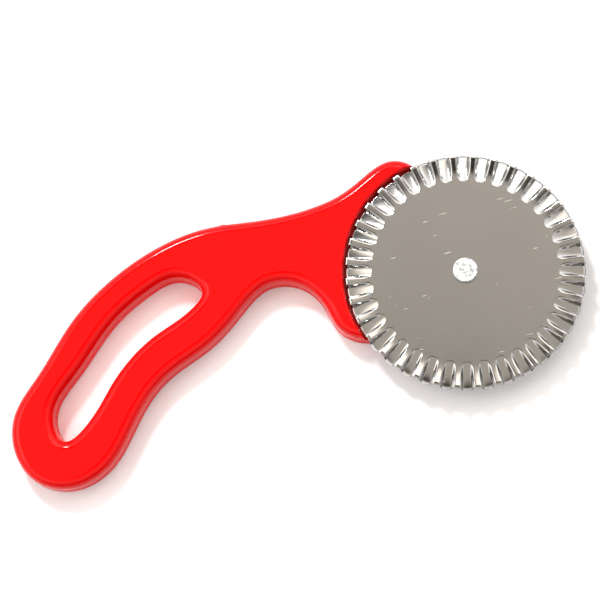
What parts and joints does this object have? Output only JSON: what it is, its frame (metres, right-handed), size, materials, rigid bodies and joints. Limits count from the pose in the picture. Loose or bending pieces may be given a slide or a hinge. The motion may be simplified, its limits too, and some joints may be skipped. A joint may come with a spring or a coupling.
{
  "type": "pastry cutter wheel",
  "caption": "Hand-held pastry cutter: a flat moulded handle with a long slot and a finger arc, and a fluted steel wheel that spins on a rivet in the handle's head.",
  "frame": {"origin": "middle of the whole cutter in X and Y, at the surface that its flat back lies on", "axes": "+X from the butt end to the wheel, along the line on which butt and wheel would stand; +Z along the wheel's axis, from the handle's back to the wheel's face"},
  "size_m": [0.1768, 0.0742, 0.0097],
  "materials": {
    "handle_plastic": "glossy injection-moulded plastic, saturated red",
    "wheel_steel": "pressed stainless sheet, satin with fine scratches",
    "rivet_aluminium": "dull, slightly dented aluminium",
    "washer_steel": "zinc-plated steel"
  },
  "bodies": {
    "handle": {"handle": "handle_plastic", "shoulder_rivet": "rivet_aluminium", "thrust_washer": "washer_steel", "rivet_washer": "washer_steel"},
    "wheel": {"cutting_wheel": "wheel_steel"}
  },
  "joints": [
    {"name": "wheel_spin", "type": "hinge", "parent": "handle", "child": "wheel", "pos_m": [0.05281, -0.0015, 0.008], "axis": [0, 0, 1], "continuous": true}
  ]
}
